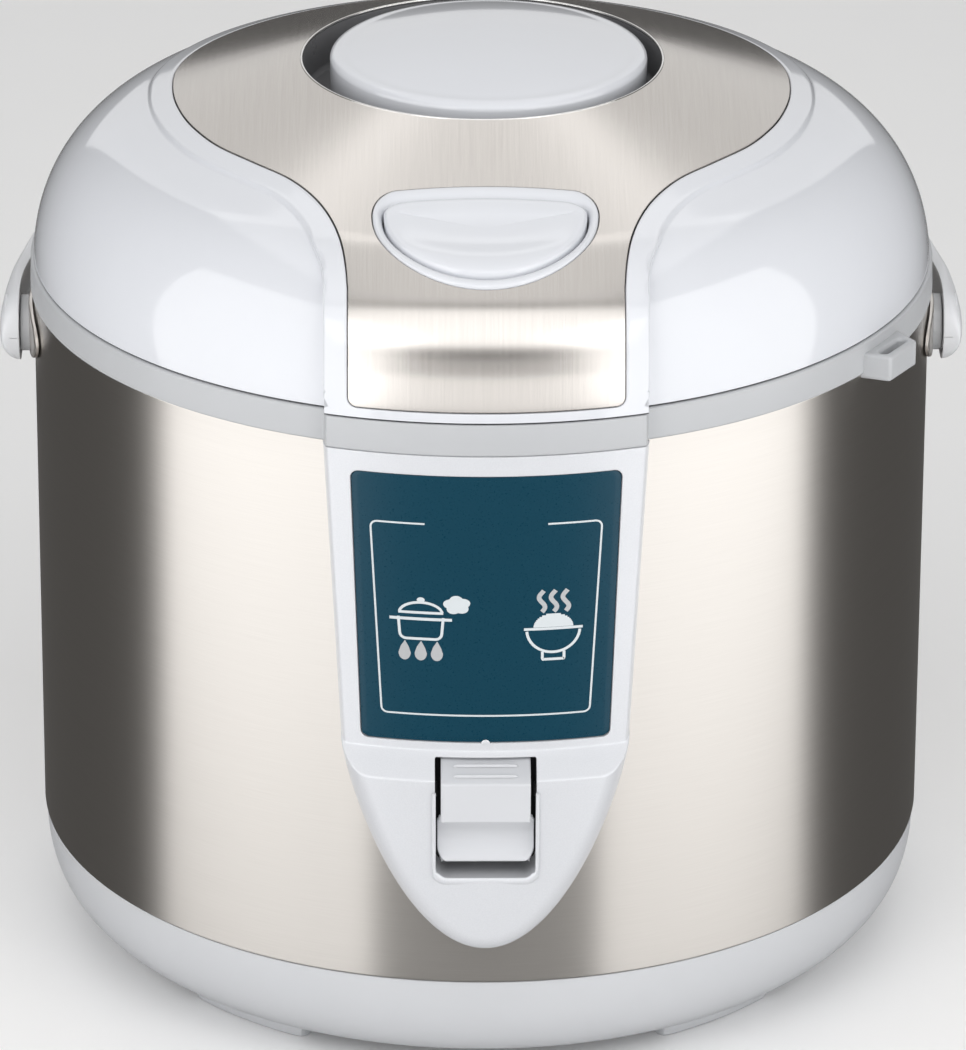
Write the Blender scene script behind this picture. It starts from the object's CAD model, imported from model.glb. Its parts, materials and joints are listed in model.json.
import bpy, bmesh, json, math
import numpy as np
from mathutils import Matrix, Vector


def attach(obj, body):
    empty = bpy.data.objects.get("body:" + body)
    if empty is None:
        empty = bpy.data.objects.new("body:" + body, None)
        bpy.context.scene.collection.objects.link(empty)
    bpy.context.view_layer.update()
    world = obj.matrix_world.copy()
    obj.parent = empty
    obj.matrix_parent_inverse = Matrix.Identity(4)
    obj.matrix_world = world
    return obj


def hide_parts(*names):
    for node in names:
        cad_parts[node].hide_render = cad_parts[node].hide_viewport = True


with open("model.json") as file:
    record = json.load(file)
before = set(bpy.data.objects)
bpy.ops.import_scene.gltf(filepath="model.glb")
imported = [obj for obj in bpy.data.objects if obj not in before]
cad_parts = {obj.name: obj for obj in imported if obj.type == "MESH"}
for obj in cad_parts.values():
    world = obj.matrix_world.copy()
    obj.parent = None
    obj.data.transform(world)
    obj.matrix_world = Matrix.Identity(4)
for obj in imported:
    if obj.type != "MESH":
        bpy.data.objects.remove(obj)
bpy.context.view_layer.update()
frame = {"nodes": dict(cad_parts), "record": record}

# ------------------------------------------------------------------ sizes, mm
R = 135.0
OY = (176 * math.cos(math.radians(4)) + 7.5 * math.sin(math.radians(4)) - 148) / 2
FOOT, BASE = 4.0, 32.5
G = FOOT + BASE
CZ = G + 169.3
CT = CZ + 9.4
LZ = CT + 0.4
PZ = G + 153.8
WELL = 53.5
SLOPE = 0.3365
ZT = LZ + 41 + (R - 29 - WELL) * SLOPE
SPR = R + 4.6
HY, HZ = 142.5, CZ + 2.2
BODY, LID = "cooker_body", "lid"


def sstep(x, a, b):
    t = np.clip((np.asarray(x, float) - a) / (b - a), 0, 1)
    return t * t * (3 - 2 * t)


# ------------------------------------------------------------------ materials
MATS = {}


def nodes_of(m):
    return m.node_tree.nodes, m.node_tree.links


def new_mat(name, color, rough, metal=0.0, coat=0.0, ior=1.5, spec=0.5, trans=0.0, aniso=0.0, coat_rough=0.05, sss=0.0):
    m = bpy.data.materials.new(name)
    m.use_nodes = True
    n, l = nodes_of(m)
    b = n["Principled BSDF"]
    b.inputs["Base Color"].default_value = (*color, 1)
    b.inputs["Roughness"].default_value = rough
    b.inputs["Metallic"].default_value = metal
    b.inputs["IOR"].default_value = ior
    b.inputs["Coat Weight"].default_value = coat
    b.inputs["Coat Roughness"].default_value = coat_rough
    b.inputs["Anisotropic"].default_value = aniso
    b.inputs["Transmission Weight"].default_value = trans
    b.inputs["Subsurface Weight"].default_value = sss
    if sss:
        b.inputs["Subsurface Radius"].default_value = (0.004, 0.004, 0.004)
        b.inputs["Subsurface Scale"].default_value = 1.0
    return m, n, l, b


def coords(n, l, scale=(1, 1, 1)):
    tc = n.new("ShaderNodeTexCoord")
    mp = n.new("ShaderNodeMapping")
    mp.inputs["Scale"].default_value = scale
    l.new(tc.outputs["Object"], mp.inputs["Vector"])
    return mp.outputs["Vector"]


def noise(n, l, vec, scale, detail=3.0, rough=0.5):
    t = n.new("ShaderNodeTexNoise")
    t.inputs["Scale"].default_value = scale
    t.inputs["Detail"].default_value = detail
    t.inputs["Roughness"].default_value = rough
    l.new(vec, t.inputs["Vector"])
    return t.outputs["Fac"]


def ramp(n, l, fac, stops):
    r = n.new("ShaderNodeValToRGB")
    e = r.color_ramp.elements
    while len(e) < len(stops):
        e.new(0.5)
    for el, (p, c) in zip(e, stops):
        el.position = p
        el.color = (*c, 1) if len(c) == 3 else c
    l.new(fac, r.inputs["Fac"])
    return r.outputs["Color"]


def rng(n, l, fac, lo, hi, a=0.3, b=0.7):
    r = n.new("ShaderNodeMapRange")
    r.inputs["From Min"].default_value = a
    r.inputs["From Max"].default_value = b
    r.inputs["To Min"].default_value = lo
    r.inputs["To Max"].default_value = hi
    l.new(fac, r.inputs["Value"])
    return r.outputs["Result"]


def bump(n, l, b, height, dist, strength=1.0, bevel=0.0):
    u = n.new("ShaderNodeBump")
    u.inputs["Distance"].default_value = dist
    u.inputs["Strength"].default_value = strength
    l.new(height, u.inputs["Height"])
    if bevel:
        v = n.new("ShaderNodeBevel")
        v.samples = 4
        v.inputs["Radius"].default_value = bevel
        l.new(v.outputs["Normal"], u.inputs["Normal"])
    l.new(u.outputs["Normal"], b.inputs["Normal"])


def plastic(name, color, rough, grain=900.0, depth=0.00001, coat=0.0, vary=0.03, bevel=0.0004, sss=0.0, dust=0.02):
    m, n, l, b = new_mat(name, color, rough, coat=coat, sss=sss)
    v = coords(n, l)
    big = noise(n, l, v, 18.0, 4)
    c = [max(0, x - vary) for x in color]
    d = [min(1, x + vary * 0.4) for x in color]
    l.new(ramp(n, l, big, [(0.3, c), (0.7, d)]), b.inputs["Base Color"])
    fine = noise(n, l, v, grain, 2)
    mid = noise(n, l, v, 60.0, 5, 0.6)
    l.new(rng(n, l, mid, rough - 0.04 * (rough / 0.3), rough + 0.05 * (rough / 0.3)), b.inputs["Roughness"])
    bump(n, l, b, fine, depth, 0.6, bevel)
    return m


def polar(n, l, sx, sz):
    """(angle about the body's axis, 0, height), scaled: for lines that run round the body."""
    tc = n.new("ShaderNodeTexCoord")
    sep = n.new("ShaderNodeSeparateXYZ")
    l.new(tc.outputs["Object"], sep.inputs[0])
    ay = n.new("ShaderNodeMath"); ay.operation = "ADD"; ay.inputs[1].default_value = OY / 1000
    l.new(sep.outputs["Y"], ay.inputs[0])
    at = n.new("ShaderNodeMath"); at.operation = "ARCTAN2"
    l.new(sep.outputs["X"], at.inputs[0])
    neg = n.new("ShaderNodeMath"); neg.operation = "MULTIPLY"; neg.inputs[1].default_value = -1
    l.new(ay.outputs[0], neg.inputs[0])
    l.new(neg.outputs[0], at.inputs[1])
    m1 = n.new("ShaderNodeMath"); m1.operation = "MULTIPLY"; m1.inputs[1].default_value = sx
    l.new(at.outputs[0], m1.inputs[0])
    m2 = n.new("ShaderNodeMath"); m2.operation = "MULTIPLY"; m2.inputs[1].default_value = sz
    l.new(sep.outputs["Z"], m2.inputs[0])
    c = n.new("ShaderNodeCombineXYZ")
    l.new(m1.outputs[0], c.inputs["X"])
    l.new(m2.outputs[0], c.inputs["Z"])
    return c.outputs[0]


def steel(name, vec_fine, vec_coarse, tangent, color=(0.775, 0.74, 0.70), rough=0.27, aniso=0.75, rot=0.25, bevel=0.0003, depth=0.000003, k=0.024, wob=0.02):
    m, n, l, b = new_mat(name, color, rough, metal=1.0, aniso=aniso)
    f = noise(n, l, vec_fine(n, l), 1.0, 3, 0.65)
    g = noise(n, l, vec_coarse(n, l), 1.0, 3, 0.6)
    mix = n.new("ShaderNodeMath"); mix.operation = "MULTIPLY_ADD"
    l.new(f, mix.inputs[0]); mix.inputs[1].default_value = 0.75
    s = n.new("ShaderNodeMath"); s.operation = "MULTIPLY"; s.inputs[1].default_value = 0.25
    l.new(g, s.inputs[0]); l.new(s.outputs[0], mix.inputs[2])
    l.new(ramp(n, l, mix.outputs[0], [(0.34, tuple(x - k for x in color)), (0.66, tuple(min(1, x + k) for x in color))]), b.inputs["Base Color"])
    l.new(rng(n, l, mix.outputs[0], rough - wob, rough + wob), b.inputs["Roughness"])
    b.inputs["Anisotropic Rotation"].default_value = rot
    t = n.new("ShaderNodeTangent")
    t.direction_type = "RADIAL"
    t.axis = tangent
    l.new(t.outputs[0], b.inputs["Tangent"])
    bump(n, l, b, f, depth, 0.5, bevel)
    return m


MATS["lid_plastic"] = plastic("gloss_white", (0.69, 0.705, 0.742), 0.10, grain=260, depth=0.000006, coat=0.4, vary=0.012)
MATS["lid_inner_plastic"] = plastic("inner_white", (0.70, 0.70, 0.71), 0.35)
MATS["collar_plastic"] = plastic("collar_grey", (0.475, 0.485, 0.50), 0.36, grain=1400, depth=0.00001, vary=0.012)
MATS["base_plastic"] = plastic("base_grey", (0.56, 0.57, 0.59), 0.38, grain=1400, depth=0.000012, vary=0.014)
MATS["handle_plastic"] = plastic("handle_grey", (0.68, 0.69, 0.71), 0.33, grain=1400, depth=0.00001, vary=0.012)
MATS["lever_plastic"] = plastic("lever_silver", (0.60, 0.61, 0.635), 0.34, grain=1600, depth=0.00001, vary=0.012)
MATS["black_plastic"] = plastic("black_satin", (0.022, 0.022, 0.024), 0.38, vary=0.006)
MATS["clear_plastic"] = plastic("milky_plastic", (0.66, 0.67, 0.69), 0.22, vary=0.012, sss=0.1)
MATS["silicone"] = plastic("silicone", (0.52, 0.52, 0.51), 0.6, grain=700, vary=0.02)
MATS["trough"] = plastic("well_grey", (0.16, 0.16, 0.165), 0.3, vary=0.02)


def panel_mat():
    m, n, l, b = new_mat("panel_silver", (0.80, 0.81, 0.845), 0.33, metal=0.12, coat=0.15, coat_rough=0.3)
    v = coords(n, l)
    flake = noise(n, l, v, 2600.0, 1)
    big = noise(n, l, v, 25.0, 3)
    l.new(ramp(n, l, flake, [(0.35, (0.665, 0.677, 0.706)), (0.65, (0.69, 0.702, 0.731))]), b.inputs["Base Color"])
    l.new(rng(n, l, big, 0.30, 0.37), b.inputs["Roughness"])
    bump(n, l, b, flake, 0.0000015, 0.3, 0.0005)
    return m


MATS["panel_plastic"] = panel_mat()


def teal_mat():
    m, n, l, b = new_mat("teal_print", (0.002, 0.045, 0.075), 0.30, ior=1.38)
    v = coords(n, l)
    t = noise(n, l, v, 1900.0, 3, 0.6)
    l.new(ramp(n, l, t, [(0.35, (0.0015, 0.040, 0.069)), (0.65, (0.002, 0.046, 0.078))]), b.inputs["Base Color"])
    l.new(rng(n, l, t, 0.26, 0.36), b.inputs["Roughness"])
    bump(n, l, b, noise(n, l, v, 1500.0, 2), 0.000001, 0.4, 0.0002)
    return m


MATS["teal_window"] = teal_mat()
MATS["print"] = plastic("print_white", (0.62, 0.66, 0.68), 0.4, vary=0.03, bevel=0)
MATS["print_dim"] = plastic("print_grey", (0.44, 0.45, 0.46), 0.4, vary=0.03, bevel=0)
MATS["brushed_steel"] = steel("steel_body", lambda n, l: polar(n, l, 7.0, 6500.0), lambda n, l: polar(n, l, 2.2, 900.0), "Z", k=0.020, wob=0.012, depth=0.0000006, rough=0.31, aniso=0.85)
MATS["trim_steel"] = steel("steel_lid", lambda n, l: coords(n, l, (6500.0, 45.0, 45.0)), lambda n, l: coords(n, l, (900.0, 14.0, 14.0)), "X", color=(0.665, 0.632, 0.60), rough=0.24, aniso=0.6, rot=0.25, k=0.032)
MATS["plain_steel"] = steel("steel_plain", lambda n, l: coords(n, l, (90, 90, 2500)), lambda n, l: coords(n, l, (30, 30, 300)), "Z", color=(0.58, 0.58, 0.59), rough=0.33, aniso=0.2)
MATS["screw_steel"] = steel("steel_zinc", lambda n, l: coords(n, l, (900, 900, 900)), lambda n, l: coords(n, l, (200, 200, 200)), "Z", color=(0.62, 0.62, 0.60), rough=0.28, aniso=0.0)
MATS["bright_steel"] = steel("steel_edge", lambda n, l: coords(n, l, (900, 900, 900)), lambda n, l: coords(n, l, (200, 200, 200)), "Z", color=(0.88, 0.87, 0.85), rough=0.14, aniso=0.0, depth=0.000002)
MATS["pot_aluminium"] = steel("alu_spun", lambda n, l: polar(n, l, 8.0, 3000.0), lambda n, l: polar(n, l, 3.0, 260.0), "Z", color=(0.66, 0.67, 0.68), rough=0.30, aniso=0.4)
MATS["cast_aluminium"] = steel("alu_cast", lambda n, l: coords(n, l, (1500, 1500, 1500)), lambda n, l: coords(n, l, (120, 120, 120)), "Z", color=(0.55, 0.55, 0.54), rough=0.45, aniso=0.0, depth=0.00002)
MATS["brass"] = steel("brass", lambda n, l: coords(n, l, (900, 900, 900)), lambda n, l: coords(n, l, (100, 100, 100)), "Z", color=(0.70, 0.53, 0.24), rough=0.3, aniso=0.0)
MATS["board_green"] = plastic("solder_mask", (0.02, 0.12, 0.05), 0.35, vary=0.01)
MATS["lamp_amber"] = plastic("lamp_amber", (0.75, 0.32, 0.06), 0.15, vary=0.03)

SLOT = {s["node"]: s["material_slot"] for s in frame["record"]["subparts"]}
for name, o in frame["nodes"].items():
    m = MATS.get(SLOT.get(name, ""), MATS["collar_plastic"])
    if not o.data.materials:
        o.data.materials.append(m)
    for i in range(len(o.data.materials)):
        o.data.materials[i] = m


# ------------------------------------------------------------------ mesh tools
def place(v):
    v = np.asarray(v, float).reshape(-1, 3).copy()
    v[:, 1] -= OY
    return v / 1000.0


def make(name, verts, faces, body, mat, slot=None, sharp=35.0, cad=(), local=True):
    me = bpy.data.meshes.new(name)
    me.from_pydata(place(verts).tolist(), [], [tuple(int(i) for i in f) for f in faces])
    me.validate()
    o = bpy.data.objects.new(name, me)
    bpy.context.scene.collection.objects.link(o)
    bm = bmesh.new(); bm.from_mesh(me)
    bmesh.ops.remove_doubles(bm, verts=bm.verts, dist=2e-6)
    bmesh.ops.recalc_face_normals(bm, faces=bm.faces)
    bm.to_mesh(me); bm.free()
    for p in me.polygons:
        p.use_smooth = True
    me.set_sharp_from_angle(angle=math.radians(sharp))
    me.materials.append(MATS[mat])
    if body:
        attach(o, body)
        if cad:
            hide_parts(*cad)
    return o


def gridfaces(nr, nc, wrap_c=False, wrap_r=False, base=0):
    f = []
    for i in range(nr if wrap_r else nr - 1):
        for j in range(nc if wrap_c else nc - 1):
            a = i * nc + j; b = i * nc + (j + 1) % nc
            c = ((i + 1) % nr) * nc + (j + 1) % nc; d = ((i + 1) % nr) * nc + j
            f.append((base + a, base + b, base + c, base + d))
    return f


def revolve(prof, n=192, a0=0.0, a1=360.0):
    prof = np.asarray(prof, float)
    full = abs(a1 - a0) >= 360
    ang = np.radians(np.linspace(a0, a1, n, endpoint=not full))
    V = np.stack([prof[:, None, 0] * np.sin(ang), -prof[:, None, 0] * np.cos(ang), prof[:, None, 1] + 0 * ang], -1)
    return V.reshape(-1, 3), gridfaces(len(prof), n, wrap_c=full)


def rounded(prof, r=0.5, n=4, closed=False):
    """corners of a polyline rounded with radius about r"""
    P = [np.array(p, float) for p in prof]
    out = []
    N = len(P)
    for i in range(N):
        if not closed and i in (0, N - 1):
            out.append(P[i]); continue
        a, b, c = P[i - 1], P[i], P[(i + 1) % N]
        u, v = a - b, c - b
        lu, lv = np.linalg.norm(u), np.linalg.norm(v)
        k = min(r, lu * 0.45, lv * 0.45)
        p, q = b + u / lu * k, b + v / lv * k
        for t in np.linspace(0, 1, n + 1):
            out.append((1 - t) ** 2 * p + 2 * t * (1 - t) * b + t * t * q)
    return np.array(out)


def boolean(o, cutters, op="DIFFERENCE"):
    for c in cutters:
        m = o.modifiers.new("b", "BOOLEAN")
        m.operation = op; m.solver = "EXACT"; m.object = c
        bpy.context.view_layer.objects.active = o
        for x in bpy.context.selected_objects:
            x.select_set(False)
        o.select_set(True)
        bpy.ops.object.modifier_apply(modifier=m.name)
    for c in cutters:
        bpy.data.objects.remove(c, do_unlink=True)
    for p in o.data.polygons:
        p.use_smooth = True
    o.data.set_sharp_from_angle(angle=math.radians(32))


def prism(outline, lo, hi, axis="z"):
    """solid cutter from a plan outline; axis y takes (x, z) outlines"""
    n = len(outline)
    V = []
    for h in (lo, hi):
        for p in outline:
            V.append((p[0], p[1], h) if axis == "z" else (p[0], h, p[1]))
    f = [tuple(range(n)), tuple(range(2 * n - 1, n - 1, -1))] + [(i, (i + 1) % n, n + (i + 1) % n, n + i) for i in range(n)]
    return make("cutter", V, f, None, "lid_plastic")


def bez(a, b, c, d, t):
    t = np.asarray(t, float)[..., None]; s = 1 - t
    return s**3 * np.array(a) + 3 * s * s * t * np.array(b) + 3 * s * t * t * np.array(c) + t**3 * np.array(d)


# ------------------------------------------------------------------ lid surface
NQ = 600
Q = np.linspace(0, 2, NQ)
END = np.array([R - 29, LZ + 41.0]); RIM = np.array([WELL - 4, ZT + 4 * SLOPE])
Cp = np.where(Q[:, None] <= 1, bez([R - 0.8, LZ], [R - 1.8, LZ + 22.4], [R - 15, LZ + 36.1], END, np.minimum(Q, 1)), END + (Q[:, None] - 1) * (RIM - END))
Sp = np.where(Q[:, None] <= 1, bez([SPR - 0.4, LZ], [SPR - 1, LZ + 22.4], [R - 11, LZ + 36.2], END, np.minimum(Q, 1)), END + (Q[:, None] - 1) * (RIM - END))


def normals2(p):
    d = np.gradient(p, axis=0)
    return np.stack([d[:, 1], -d[:, 0]], -1) / np.linalg.norm(d, axis=1, keepdims=True)


Cn, Sn = normals2(Cp), normals2(Sp)
lift = 0.9 * sstep(Q, 0.1, 0.9)[:, None]
Sp = Sp + Sn * lift
SIG = np.concatenate([[0], np.cumsum(np.linalg.norm(np.diff(Cp, axis=0), axis=1))])
SIG = SIG[-1] - SIG + RIM[0] / math.cos(math.atan(SLOPE))     # distance from the apex along the lid


def at(arr, sig):
    return np.stack([np.interp(sig, SIG[::-1], arr[::-1, k]) for k in (0, 1)], -1)


def surf(phi, sig, b, d=0.0):
    b = np.asarray(b, float)[..., None] if np.ndim(b) else b
    p = at(Cp, sig) * (1 - b) + at(Sp, sig) * b
    if np.ndim(d) or d:
        nn = at(Cn, sig) * (1 - b) + at(Sn, sig) * b
        p = p + nn * (np.asarray(d)[..., None] if np.ndim(d) else d)
    return np.stack([p[..., 0] * np.sin(phi), -p[..., 0] * np.cos(phi), p[..., 1]], -1)


def sig_of_rho(rho):
    return np.interp(rho, Sp[::-1, 0], SIG[::-1])


def plan(x, y, d=0.0, b=1.0):
    """the raised surface above plan point x, y"""
    rho = np.hypot(x, y)
    return surf(np.arctan2(x, -y), sig_of_rho(rho), b, d)


def oval(y):
    return 92.3 * np.sqrt(np.maximum(0, 1 - ((y - 18) / np.where(y < 18, 113.0, 84.0)) ** 2))


def neck(y):
    return np.where(y < -117.8, 39.0, 119 - np.sqrt(np.maximum(0, 6400 - (y + 117.8) ** 2)))


HX = np.array([-121.0, -108.0, -95.0, -82.0, -70.0, -58.5, -44.5, -29.0, -8.0, 18.0])
HV = np.array([39.0, 39.95, 42.6, 47.9, 55.7, 65.8, 76.6, 84.3, 90.2, 92.3])
HS = np.gradient(HV, HX); HS[0] = HS[-1] = 0


def half(y):
    y = np.asarray(y, float)
    dx = np.diff(HX)[np.clip(np.searchsorted(HX, y) - 1, 0, len(HX) - 2)]
    n = np.clip(np.searchsorted(HX, y) - 1, 0, len(HX) - 2)
    t = np.clip((y - HX[n]) / dx, 0, 1)
    m = HV[n] * (2 * t**3 - 3 * t**2 + 1) + HS[n] * dx * (t**3 - 2 * t**2 + t) + HV[n + 1] * (3 * t**2 - 2 * t**3) + HS[n + 1] * dx * (t**3 - t**2)
    return np.where(y < HX[0], 39.0, np.where(y > 18, oval(y), m))


SB = float(np.interp(LZ + 3.4, Sp[:, 1], SIG))     # lower edge of the strip
SRIM = SIG[0]
sig_s = float(sig_of_rho(math.hypot(39, 117.8)))

# outline of the trim as (phi, sigma), right half from front centre to rear centre
path = []
rs = float(at(Sp, SB)[0])
for x in np.linspace(0, 39 - 2.4, 12):
    path.append((math.asin(x / rs), SB, 0))
for a in np.radians(np.linspace(15, 90, 6)):
    s = SB - 2.4 + 2.4 * math.cos(a); x = 36.6 + 2.4 * math.sin(a)
    path.append((math.asin(x / float(at(Sp, s)[0])), s, 0))
for s in np.linspace(SB - 3.6, sig_s, 36):
    path.append((math.asin(39 / float(at(Sp, s)[0])), s, 1))
yy = np.concatenate([np.arange(-116.5, 18, 1.7), 18 + 84 * np.sin(np.radians(np.arange(1.5, 90, 2.0)))])
for y in yy:
    x = float(half(y))
    path.append((math.atan2(x, -y), float(sig_of_rho(math.hypot(x, y))), 2))
path.append((math.pi, float(sig_of_rho(102.0)), 2))
path = np.array(path)
nb = 18                                            # points on the bottom edge and corner
ph, sg, kind = path[:, 0], path[:, 1], path[:, 2]
X = np.stack([sg * np.sin(ph), sg * np.cos(ph)], -1)
T = np.gradient(X, axis=0)
T[0] = (1, 0); T[-1] = (-1, 0)
N = np.stack([T[:, 1], -T[:, 0]], -1)
N /= np.linalg.norm(N, axis=1, keepdims=True)
if N[40, 0] < 0:
    N = -N
rho0 = at(Sp, sg)[:, 0]
rad = np.stack([np.sin(ph), np.cos(ph)], -1)
nr_ = (N * rad).sum(1); nt_ = np.sqrt(np.maximum(0, 1 - nr_**2))
stretch = 1 / np.sqrt((nt_ * rho0 / sg) ** 2 + nr_**2)
GAP = 0.36
avail = np.full(len(path), 20.0)
avail[:12] = (SRIM - SB) - 0.4
avail[12:18] = np.linspace(3.2, 9.0, 6)
avail[18:54] = np.minimum(20, 9.0 + np.linspace(0, 40, 36))
ks = [(0, -2.2), (0, -0.35), (0.1, -0.1), (0.35, 0), (1.2, 0), (3.0, 0), (5.0, 0), (6.2, 0), (6.6, 0), (6.9, 0), (7.2, 0), (7.5, 0), (7.8, 0), (8.1, 0), (8.4, 0), (8.8, 0), (9.6, 0)]
rows = []
for k, d in ks:
    kk = GAP + k
    ke = np.where(kk > GAP, GAP + (kk - GAP) * np.minimum(1, (avail - GAP) / 9.6), kk) * stretch
    Y = X + N * ke[:, None]
    p = np.arctan2(Y[:, 0], Y[:, 1]); s = np.hypot(Y[:, 0], Y[:, 1])
    p[0] = 0; p[-1] = math.pi
    s = np.minimum(s, SRIM - 0.02)
    rows.append((p, s, np.full(len(path), float(kk)), np.full(len(path), float(d))))
p9, s9 = rows[-1][0], rows[-1][1]
L = np.concatenate([[0], np.cumsum(np.linalg.norm(np.diff(X, axis=0), axis=1))])
frac = np.clip((L - L[nb]) / (L[-1] - L[nb]), 0, 1)
prim = np.where(np.arange(len(path)) <= nb, p9 * 1.0, 0)
p_c = p9[nb]
prim[nb:] = p_c + (math.pi - p_c) * frac[nb:] ** 0.9
for t in np.linspace(0, 1, 56)[1:]:
    e = 1 - (1 - t) ** 1.5
    rows.append((p9 + (prim - p9) * e, s9 + (SRIM - s9) * e, np.full(len(path), 30.0), np.zeros(len(path))))
V = []
for (p, s, k, d) in rows:
    full_p = np.concatenate([-p[::-1][:-1], p[:-1]])
    full_s = np.concatenate([s[::-1][:-1], s[:-1]])
    full_d = np.concatenate([d[::-1][:-1], d[:-1]])
    full_k = np.concatenate([k[::-1][:-1], k[:-1]])
    kd = np.concatenate([kind[::-1][:-1], kind[:-1]])
    xx = at(Sp, full_s)[:, 0] * np.sin(full_p)
    bx = 1 - sstep(np.abs(xx), 45.7, 47.5)
    bx = np.where((np.cos(full_p) > 0) & (full_s > sig_s - 14), bx, 0)
    bk = 1 - sstep(full_k, 6.7, 8.5)
    w = sstep(full_s, sig_s - 12, sig_s + 2)
    b = np.where(kd == 2, bk * (1 - w) + np.minimum(1, bx) * w if k[0] < 20 else bx * w, bx)
    b = np.where((kd == 2) & (k[0] < 20) & (w <= 0), bk, b)
    V.append(surf(full_p, full_s, b, full_d))
# rim: rounded lower edge, then the inside wall
pr = np.concatenate([-rows[-1][0][::-1][:-1], rows[-1][0][:-1]])
xx = (R + 4) * np.sin(pr)
bb = np.where(np.cos(pr) > 0, 1 - sstep(np.abs(xx), 45.7, 47.5), 0)
last = V[-1].copy()
ro = np.hypot(last[:, 0], last[:, 1])
V[-1] = last + np.array([0, 0, 0.3])
for dr, dz in ((0.08, 0.06), (0.35, -0.05), (1.6, 0.0), (2.5, 0.2), (2.7, 2.0), (3.2, 14.0)):
    q = (ro - dr)[:, None] * np.stack([np.sin(pr), -np.cos(pr)], -1)
    V.append(np.concatenate([q, np.full((len(pr), 1), LZ + dz)], 1))
V = np.array(V)
lid = make("lid_shell", V.reshape(-1, 3), gridfaces(V.shape[0], V.shape[1], wrap_c=True), LID, "lid_plastic", "lid_plastic", 50, cad=("lid_outer_shell",))

# inner bed under the trim, so nothing shows through the gap; with the well in it
wp = rounded([(96, ZT - 17), (WELL + 3, ZT - 3.0), (WELL + 1.4, ZT - 0.2), (WELL + 0.1, ZT + 0.1), (WELL - 0.1, ZT - 11), (WELL - 1.5, ZT - 12), (14.2, ZT - 12), (14.2, ZT - 14)], 0.5, 3)
v, f = revolve(wp, 160)
make("lid_well", v, f, LID, "trough", "lid_plastic", 40)

# ------------------------------------------------------------------ steel trim
MOONC = -92.3


def moon(o):
    pts = [((29 + o) * math.cos(math.radians(t)), MOONC + (25.9 + 1.25 * o) * math.sin(math.radians(t))) for t in np.arange(180, 360.1, 5)]
    pts += [(22 + o + 7 * math.cos(math.radians(t)), MOONC + (4.7 + 1.5 * o) * math.sin(math.radians(t))) for t in np.arange(10, 91, 10)]
    pts += [(x, MOONC + 4.7 + 1.5 * o) for x in np.linspace(22 + o, -22 - o, 16)[1:-1]]
    pts += [(-22 - o + 7 * math.cos(math.radians(t)), MOONC + (4.7 + 1.5 * o) * math.sin(math.radians(t))) for t in np.arange(90, 171, 10)]
    return np.array(pts)


U = np.sin(np.linspace(-1, 1, 65) * math.pi / 2 * 0.96) / math.sin(math.pi / 2 * 0.96)
rowsT = []
for s in np.concatenate([SB - 2.4 + 2.4 * np.cos(np.radians(np.linspace(0, 90, 7))), np.linspace(SB - 3.4, sig_s, 40)]):
    r = float(at(Sp, s)[0])
    hw = 39.0 if s <= SB - 2.4 else 36.6 + math.sqrt(max(0, 2.4**2 - (s - (SB - 2.4)) ** 2))
    x = U * hw
    rowsT.append((np.arcsin(x / r), np.full(len(U), s)))
yc0 = -math.sqrt(float(at(Sp, sig_s)[0]) ** 2)
for yc in np.concatenate([np.linspace(yc0 + 1.2, -40, 62), np.linspace(-38, 18, 32)[1:], 18 + 84 * np.sin(np.radians(np.arange(4, 89.9, 2.6))), [101.99]]):
    w = 1 - float(sstep(yc, yc0, -70))
    rc = abs(yc)
    xe = 40.0
    for _ in range(30):
        ye = yc + w * (rc - math.sqrt(max(1, rc * rc - xe * xe))) if rc > xe else yc
        xe = 0.5 * xe + 0.5 * float(half(ye))
    x = U * xe
    y = yc + w * (rc - np.sqrt(np.maximum(1, rc * rc - x * x))) if rc > xe else np.full(len(U), yc)
    rowsT.append((np.arctan2(x, -y), sig_of_rho(np.hypot(x, y))))
top = np.array([surf(p, s, 1.0, 0.0) for p, s in rowsT])
bot = np.array([surf(p, s, 1.0, -0.85) for p, s in rowsT])
nr, nc = top.shape[:2]
Vt = np.concatenate([top.reshape(-1, 3), bot.reshape(-1, 3)])
F = gridfaces(nr, nc) + [tuple(reversed(q)) for q in gridfaces(nr, nc, base=nr * nc)]
o_ = nr * nc
for i in range(nr - 1):
    F += [(i * nc, o_ + i * nc, o_ + (i + 1) * nc, (i + 1) * nc), (i * nc + nc - 1, (i + 1) * nc + nc - 1, o_ + (i + 1) * nc + nc - 1, o_ + i * nc + nc - 1)]
for j in range(nc - 1):
    F += [(j, j + 1, o_ + j + 1, o_ + j), ((nr - 1) * nc + j, o_ + (nr - 1) * nc + j, o_ + (nr - 1) * nc + j + 1, (nr - 1) * nc + j + 1)]
trim = make("lid_trim", Vt, F, LID, "trim_steel", "brushed_steel", 40, cad=("lid_steel_trim",))
circ = [((WELL + 0.3) * math.cos(a), (WELL + 0.3) * math.sin(a)) for a in np.linspace(0, 2 * math.pi, 200, endpoint=False)]
boolean(trim, [prism(circ, ZT - 30, ZT + 30), prism(moon(3.5), LZ + 10, ZT + 40)])


rp = [(WELL + 0.15 + 0.42 * math.cos(t), ZT + 0.62 + 0.42 * math.sin(t)) for t in np.linspace(0, 2 * math.pi, 10, endpoint=False)]
v, f = revolve(rp, 200)
f = gridfaces(10, 200, wrap_c=True, wrap_r=True)
make("trim_rim", v, f, LID, "bright_steel", "brushed_steel", 60)

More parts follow.
